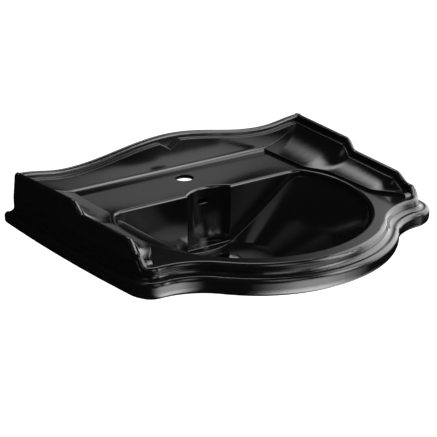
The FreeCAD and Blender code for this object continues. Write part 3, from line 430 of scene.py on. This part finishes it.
def loft(name: str, rings: list[list[Vector]], material: Material) -> Piece:
    """Skin a piece over a row of closed sections, and cap both ends.

    Args:
        name: the piece's name.
        rings: the sections in order, each with the same number of points.
        material: finish of the piece.

    Returns:
        The piece, linked to the scene.
    """
    mesh = bmesh.new()
    rows = [[mesh.verts.new(point) for point in ring] for ring in rings]
    sides = len(rows[0])
    for first, second in zip(rows, rows[1:]):
        for side in range(sides):
            following = (side + 1) % sides
            mesh.faces.new((first[side], second[side], second[following], first[following]))
    mesh.faces.new(rows[0])
    mesh.faces.new(reversed(rows[-1]))
    bmesh.ops.recalc_face_normals(mesh, faces=mesh.faces)
    data = bpy.data.meshes.new(name)
    mesh.to_mesh(data)
    mesh.free()
    data.materials.append(material)
    piece = bpy.data.objects.new(name, data)
    bpy.context.collection.objects.link(piece)
    LOG.info("%s: %d sections", name, len(rings))
    return piece


@dataclass
class Thread:
    """Helical ridge that stands on a tube, with a V section and run-outs at both ends."""

    name: str
    radius: float                       # radius of the tube's own surface
    low: float
    high: float
    pitch: float
    proud: float                        # the ridge stands this far over it, and starts as far under
    centre_y: float
    turn_steps: int = 64
    run_out: float = 0.25               # turns over which the ridge rises and dies
    flank: float = 0.42                 # half the ridge's foot, in pitches
    crest: float = 0.08                 # half the ridge's flat top, in pitches

    def build(self, material: Material) -> Piece:
        """Wind the ridge.

        Args:
            material: finish of the metal.

        Returns:
            The ridge, not yet riding on a body.
        """
        steps = int((self.high - self.low - self.pitch) / self.pitch * self.turn_steps)
        run_out = self.run_out * self.turn_steps
        foot = self.radius - self.proud
        rings = []
        for step in range(steps + 1):
            angle = 2 * math.pi * step / self.turn_steps
            height = self.low + self.pitch * (0.5 + step / self.turn_steps)
            top = self.radius + self.proud * min(1.0, step / run_out, (steps - step) / run_out)
            section = ((foot, -self.flank), (top, -self.crest), (top, self.crest), (foot, self.flank))
            rings.append([Vector((radius * math.cos(angle), self.centre_y + radius * math.sin(angle),
                                  height + lift * self.pitch)) for radius, lift in section])
        return loft(self.name, rings, material)


@dataclass
class ReturnSpring:
    """Coil of round wire that lifts the plug and shortens as the plug goes down; the coil here keeps the
    solid one's length.
    """

    node: str = "return_spring"
    body: str = "basin_set"
    joint: str = "plug_slide"
    wire: float = 0.9 * MM
    turns: float = 5.0
    turn_steps: int = 48
    sides: int = 12                     # sides of the wire's section

    def build(self, material: Material) -> None:
        """Wind the coil, which stands for the solid one.

        Args:
            material: finish of the wire.
        """
        low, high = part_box(self.node)
        radius = (high.x - low.x - self.wire) / 2
        centre = Vector(((low.x + high.x) / 2, (low.y + high.y) / 2, low.z + self.wire / 2))
        rise = (high.z - low.z - self.wire) / self.turns
        steps = int(self.turns * self.turn_steps)
        corners = [2 * math.pi * side / self.sides for side in range(self.sides)]
        rings = []
        for step in range(steps + 1):
            angle = 2 * math.pi * step / self.turn_steps
            outward = Vector((math.cos(angle), math.sin(angle), 0))
            along = Vector((-outward.y * radius, outward.x * radius, rise / (2 * math.pi))).normalized()
            upward = outward.cross(along)
            middle = centre + outward * radius + Vector((0, 0, rise * step / self.turn_steps))
            rings.append([middle + (outward * math.cos(corner) + upward * math.sin(corner)) * self.wire / 2
                          for corner in corners])
        coil = loft("return_coil", rings, material)
        for face in coil.data.polygons:
            face.use_smooth = True
        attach(coil, self.body)
        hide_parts(self.node)
        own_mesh(coil)


@dataclass
class Waste:
    """Click-clack waste: every node's finish, and the threads that its solids leave plain."""

    fixed_body: str = "basin_set"
    tail_pitch: float = 2.309 * MM      # 1 1/4 inch pipe thread, 11 to the inch
    tail_proud: float = 0.45 * MM
    tail_foot: float = 0.6 * MM         # plain length at the tail's end
    tail_neck: float = 2.6 * MM         # plain length under the backnut
    sleeve_radius: float = 7.0 * MM
    sleeve_pitch: float = 1.0 * MM
    sleeve_proud: float = 0.2 * MM
    sleeve_plain: float = 0.3 * MM      # plain length at each end of the sleeve's thread
    sleeve_steps: int = 40
    finishes_of: dict[str, Slot] = field(default_factory=lambda: {
        "waste_body": Slot.CHROME,
        "flange_seal": Slot.RUBBER,
        "lower_seal": Slot.RUBBER,
        "friction_washer": Slot.NYLON,
        "backnut": Slot.BRASS,
        "cartridge_sleeve": Slot.BRASS,
        "cartridge_end": Slot.BRASS,
        "cartridge_nut": Slot.BRASS,
        "plunger": Slot.CHROME,
        "return_spring": Slot.SPRING,
        "plug_cap": Slot.CHROME,
        "plug_seal": Slot.RUBBER,
        "plug_washer": Slot.BRASS})

    def threads(self, finishes: dict[Slot, Material]) -> None:
        """Wind the threads on the free end of the tail and on the latch's sleeve.

        Args:
            finishes: material of each slot.
        """
        tail_low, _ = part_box("waste_body")
        nut_low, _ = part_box("backnut")
        seal_low, seal_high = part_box("lower_seal")
        sleeve_low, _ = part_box("cartridge_sleeve")
        latch_nut_low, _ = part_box("cartridge_nut")
        centre_y = (seal_low.y + seal_high.y) / 2
        tail_radius = mount("waste_tail")["dims"]["r_mm"] * MM
        tail = Thread("tail_thread", tail_radius, tail_low.z + self.tail_foot,
                      nut_low.z - self.tail_neck, self.tail_pitch, self.tail_proud, centre_y)
        sleeve = Thread("sleeve_thread", self.sleeve_radius, sleeve_low.z + self.sleeve_plain,
                        latch_nut_low.z - self.sleeve_plain, self.sleeve_pitch, self.sleeve_proud,
                        centre_y, self.sleeve_steps)
        for thread, slot in ((tail, Slot.CHROME), (sleeve, Slot.BRASS)):
            ridge = thread.build(finishes[slot])
            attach(ridge, self.fixed_body)

    def build(self, finishes: dict[Slot, Material]) -> None:
        """Dress every node of the waste, wind its threads and coil its spring.

        Args:
            finishes: material of each slot.
        """
        for node, slot in self.finishes_of.items():
            dress(node, finishes[slot])
        self.threads(finishes)
        ReturnSpring(body=self.fixed_body).build(finishes[Slot.SPRING])


# --- studio ---------------------------------------------------------------------------


def direction(azimuth: float, elevation: float) -> Vector:
    """Point from the basin towards a place in the studio.

    Args:
        azimuth: degrees from the basin's front towards its right.
        elevation: degrees above the deck.

    Returns:
        The unit vector.
    """
    turn = math.radians(azimuth)
    lift = math.radians(elevation)
    return Vector((math.sin(turn) * math.cos(lift), -math.cos(turn) * math.cos(lift), math.sin(lift)))


@dataclass
class Camera:
    """Camera that looks down on the basin from its front left."""

    azimuth: float = -34.75             # degrees from the basin's front towards its right
    elevation: float = 21.23            # degrees above the deck
    distance: float = 2.866
    lens_mm: float = 123.6
    clip_end: float = 50.0
    aim: Vector = field(default_factory=lambda: Vector((0.0637, -0.0865, -0.0894)))

    def build(self) -> None:
        """Set up the camera as the scene's own."""
        back = direction(self.azimuth, self.elevation)
        right = direction(self.azimuth + 90, 0)
        up = back.cross(right)
        data = bpy.data.cameras.new("camera")
        data.lens = self.lens_mm
        data.clip_end = self.clip_end
        camera = bpy.data.objects.new("camera", data)
        camera.matrix_world = Matrix((right, up, back)).transposed().to_4x4()
        camera.location = self.aim + back * self.distance
        bpy.context.collection.objects.link(camera)
        bpy.context.scene.camera = camera


@dataclass(frozen=True)
class SoftBox:
    """Square lamp that faces the basin; neither the view nor reflections show it."""

    name: str
    azimuth: float
    elevation: float
    distance: float
    size: float
    watts: float
    target: tuple[float, float, float] = (0.0, -0.25, 0.0)

    def build(self) -> None:
        """Hang the lamp."""
        way = direction(self.azimuth, self.elevation)
        data = bpy.data.lights.new(self.name, "AREA")
        data.size = self.size
        data.energy = self.watts
        lamp = bpy.data.objects.new(self.name, data)
        lamp.location = Vector(self.target) + way * self.distance
        lamp.rotation_euler = way.to_track_quat("Z", "Y").to_euler()
        lamp.visible_camera = False
        lamp.visible_glossy = False
        bpy.context.collection.objects.link(lamp)


@dataclass(frozen=True)
class Patch:
    """Soft-edged patch of the tent: an opening, or a lit cloth.

    Angles are in degrees; azimuth 0 is the basin's front and 90 its right.
    """

    azimuth: float
    elevation: float
    half_wide: float
    half_tall: float
    soft: float
    strength: float

    def mask(self, tree: Tree, azimuth: Socket, elevation: Socket) -> Socket:
        """Draw the patch.

        Args:
            tree: node tree of the tent.
            azimuth: socket of a point's azimuth in degrees.
            elevation: socket of its elevation in degrees.

        Returns:
            A socket that is the patch's strength inside it and nought outside.
        """
        turned = add(tree, "ShaderNodeMath", SUBTRACT, i0=azimuth, i1=self.azimuth)
        aside = add(tree, "ShaderNodeMath", {"operation": "WRAP"}, i0=turned.outputs[0], i1=180.0, i2=-180.0)
        above = add(tree, "ShaderNodeMath", SUBTRACT, i0=elevation, i1=self.elevation)
        inside = []
        for offset, half in ((aside, self.half_wide), (above, self.half_tall)):
            gap = add(tree, "ShaderNodeMath", {"operation": "ABSOLUTE"}, i0=offset.outputs[0])
            inside.append(add(tree, "ShaderNodeMapRange", SMOOTH, Value=gap.outputs[0],
                              From_Min=half + self.soft, From_Max=max(half - self.soft, 0.0)))
        across, along = [step.outputs["Result"] for step in inside]
        both = add(tree, "ShaderNodeMath", MULTIPLY, i0=across, i1=along)
        return add(tree, "ShaderNodeMath", MULTIPLY, i0=both.outputs[0], i1=self.strength).outputs[0]


@dataclass
class Tent:
    """Black tent round the basin, which only its reflections see.

    Its openings show the white studio, and its lit cloths stand for the faces of soft
    boxes. They are brighter than white, because the glaze mirrors only a small part.
    """

    radius: float = 2.4
    centre: Vector = field(default_factory=lambda: Vector((0.0, -0.25, -0.05)))
    floor_z: float = -0.84              # the tent ends just above the floor
    segments: int = 48
    black: str = "#050505"              # woven cloth: close to black, and dead matt
    # each patch: azimuth, elevation, half its width and height, softness of its edge, strength
    openings: tuple[Patch, ...] = (
        Patch(95, 22, 38, 26, 12, 1.0),     # the studio on the right
    )
    cloths: tuple[Patch, ...] = (
        Patch(12, -45, 28, 26, 22, 6.0),    # lit floor cloth before the basin
        Patch(8, -4, 16, 12, 8, 2.4),       # low front box
        Patch(37, 30, 12, 20, 8, 5.2),      # upright box at the front right
        Patch(90, 20, 30, 28, 12, 2.2),     # broad box on the right
        Patch(82, 55, 26, 5, 6, 2.2),       # long box over the right side
        Patch(150, 48, 14, 10, 8, 3.0),     # box behind
        Patch(-5, 48, 14, 14, 10, 1.6),     # dim overhead cloth in front
        Patch(-90, 66, 20, 5, 6, 0.5),      # dim overhead cloth on the left
        Patch(70, -60, 40, 16, 16, 2.2),    # floor cloth on the right
    )

    def shape(self) -> Piece:
        """Shape the dome, flattened just above the floor.

        Returns:
            The dome, linked to the scene.
        """
        mesh = bmesh.new()
        bmesh.ops.create_uvsphere(mesh, u_segments=self.segments, v_segments=self.segments // 2,
                                  radius=self.radius)
        low = self.floor_z - self.centre.z
        for vertex in mesh.verts:
            vertex.co.z = max(vertex.co.z, low)
        data = bpy.data.meshes.new("tent")
        mesh.to_mesh(data)
        mesh.free()
        tent = bpy.data.objects.new("tent", data)
        tent.location = self.centre
        bpy.context.collection.objects.link(tent)
        return tent

    def angles(self, tree: Tree) -> tuple[Socket, Socket]:
        """Find where a point of the tent lies, as the basin sees it.

        Args:
            tree: node tree of the tent.

        Returns:
            Sockets of the azimuth and the elevation in degrees.
        """
        place = add(tree, "ShaderNodeTexCoord").outputs["Object"]
        way = add(tree, "ShaderNodeVectorMath", {"operation": "NORMALIZE"}, i0=place)
        parts = add(tree, "ShaderNodeSeparateXYZ", Vector=way.outputs["Vector"]).outputs
        front = add(tree, "ShaderNodeMath", MULTIPLY, i0=parts["Y"], i1=-1.0)
        turn = add(tree, "ShaderNodeMath", {"operation": "ARCTAN2"}, i0=parts["X"], i1=front.outputs[0])
        lift = add(tree, "ShaderNodeMath", {"operation": "ARCSINE"}, i0=parts["Z"])
        azimuth = add(tree, "ShaderNodeMath", DEGREES, i0=turn.outputs[0])
        elevation = add(tree, "ShaderNodeMath", DEGREES, i0=lift.outputs[0])
        return azimuth.outputs[0], elevation.outputs[0]

    def total(self, tree: Tree, azimuth: Socket, elevation: Socket, patches: tuple[Patch, ...]) -> Socket:
        """Add up some patches.

        Args:
            tree: node tree of the tent.
            azimuth: socket of a point's azimuth in degrees.
            elevation: socket of its elevation in degrees.
            patches: the patches.

        Returns:
            The sum's socket.
        """
        level, *others = [patch.mask(tree, azimuth, elevation) for patch in patches]
        for mask in others:
            level = add(tree, "ShaderNodeMath", {"operation": "ADD"}, i0=level, i1=mask).outputs[0]
        return level

    def build(self) -> None:
        """Raise the tent."""
        tent = self.shape()
        material, tree, surface = blank_material("black_studio_cloth")
        azimuth, elevation = self.angles(tree)
        holes = self.total(tree, azimuth, elevation, self.openings)
        light = self.total(tree, azimuth, elevation, self.cloths)
        opened = add(tree, "ShaderNodeMath", {"operation": "MINIMUM"}, i0=holes, i1=1.0)
        black = add(tree, "ShaderNodeBsdfDiffuse", Color=linear(self.black))
        clear = add(tree, "ShaderNodeBsdfTransparent")
        cloth = add(tree, "ShaderNodeMixShader", i0=opened.outputs[0], i1=black.outputs["BSDF"],
                    i2=clear.outputs["BSDF"])
        glow = add(tree, "ShaderNodeEmission", Color=WHITE, Strength=light)
        whole = add(tree, "ShaderNodeAddShader", i0=cloth.outputs["Shader"], i1=glow.outputs["Emission"])
        tree.links.new(whole.outputs["Shader"], surface)
        tent.data.materials.append(material)
        tent.visible_camera = False
        tent.visible_diffuse = False
        tent.visible_shadow = False
        LOG.info("tent: %d cloths, %d openings", len(self.cloths), len(self.openings))


@dataclass
class Studio:
    """Pale floor, soft lamps and a plain white backdrop."""

    floor_z: float = -0.85              # a deck is usually this far over a bathroom floor
    floor_size: float = 30.0
    paper: str = "#F6F6F6"              # pressed paper: matt, and faintly clouded by its fibres
    paper_shade: str = "#EFEFEF"
    fibre_mm: float = 4.0               # drawn coarse enough to show
    paper_lift: float = 0.6             # glow that brings the lit paper up to white
    even_light: float = 0.5
    lamps: tuple[SoftBox, ...] = (
        SoftBox("key", azimuth=50, elevation=50, distance=3.0, size=1.6, watts=70),
        SoftBox("fill", azimuth=-40, elevation=35, distance=3.2, size=2.0, watts=40),
    )

    def background_ray(self, tree: Tree) -> Socket:
        """Tell the rays that see the white background from those that light the object.

        Args:
            tree: node tree of the floor or the world.

        Returns:
            A socket that is one for camera, glossy and transmission rays.
        """
        path = add(tree, "ShaderNodeLightPath").outputs
        mirrored = add(tree, "ShaderNodeMath", LARGER, i0=path["Is Glossy Ray"],
                       i1=path["Is Transmission Ray"])
        seen = add(tree, "ShaderNodeMath", LARGER, i0=path["Is Camera Ray"], i1=mirrored.outputs[0])
        return seen.outputs[0]

    def floor(self) -> None:
        """Lay the paper floor, which keeps the object's shadow."""
        bpy.ops.mesh.primitive_plane_add(size=self.floor_size, location=(0, 0, self.floor_z))
        plane = bpy.context.object
        plane.name = "floor"
        material, tree, surface = blank_material("floor_paper")
        place = add(tree, "ShaderNodeTexCoord").outputs["Object"]
        fibre = add(tree, "ShaderNodeTexNoise", Vector=place, Scale=1 / (self.fibre_mm * MM), Detail=3.0)
        tone = add(tree, "ShaderNodeMix", COLOURS, i0=fibre.outputs["Fac"], i6=linear(self.paper_shade),
                   i7=linear(self.paper))
        lit = add(tree, "ShaderNodeBsdfDiffuse", Color=tone.outputs[2])
        lift = add(tree, "ShaderNodeMath", MULTIPLY, i0=self.background_ray(tree), i1=self.paper_lift)
        white = add(tree, "ShaderNodeEmission", Color=WHITE, Strength=lift.outputs[0])
        both = add(tree, "ShaderNodeAddShader", i0=lit.outputs["BSDF"], i1=white.outputs["Emission"])
        tree.links.new(both.outputs["Shader"], surface)
        plane.data.materials.append(material)

    def world(self) -> None:
        """Give the room its even light, and the view and the reflections their white backdrop."""
        world = bpy.data.worlds.new("studio")
        bpy.context.scene.world = world
        world.use_nodes = True
        tree = world.node_tree
        tree.nodes.clear()
        soft = add(tree, "ShaderNodeBackground", Color=WHITE, Strength=self.even_light)
        white = add(tree, "ShaderNodeBackground", Color=WHITE, Strength=1.0)
        mix = add(tree, "ShaderNodeMixShader", i0=self.background_ray(tree), i1=soft.outputs["Background"],
                  i2=white.outputs["Background"])
        output = add(tree, "ShaderNodeOutputWorld")
        tree.links.new(mix.outputs["Shader"], output.inputs["Surface"])

    def build(self) -> None:
        """Lay the floor, light the room, raise the tent and set up the camera."""
        bpy.context.scene.view_settings.view_transform = "Standard"
        self.floor()
        self.world()
        for lamp in self.lamps:
            lamp.build()
        Tent().build()
        Camera().build()
        LOG.info("studio: floor, world, %d lamps and camera", len(self.lamps))


def main() -> None:
    """Dress every piece in order and light the scene."""
    logging.basicConfig(level=logging.INFO, format="%(message)s")
    finishes = {
        Slot.GLAZE: BlackGlaze().build(),
        Slot.CHROME: CHROME_PLATE.build(),
        Slot.BRASS: TURNED_BRASS.build(),
        Slot.RUBBER: NITRILE.build(),
        Slot.NYLON: NYLON.build(),
        Slot.SPRING: DRAWN_STEEL.build(),
    }
    Basin().build(finishes)
    Waste().build(finishes)
    Studio().build()


if __name__ == "__main__":
    main()
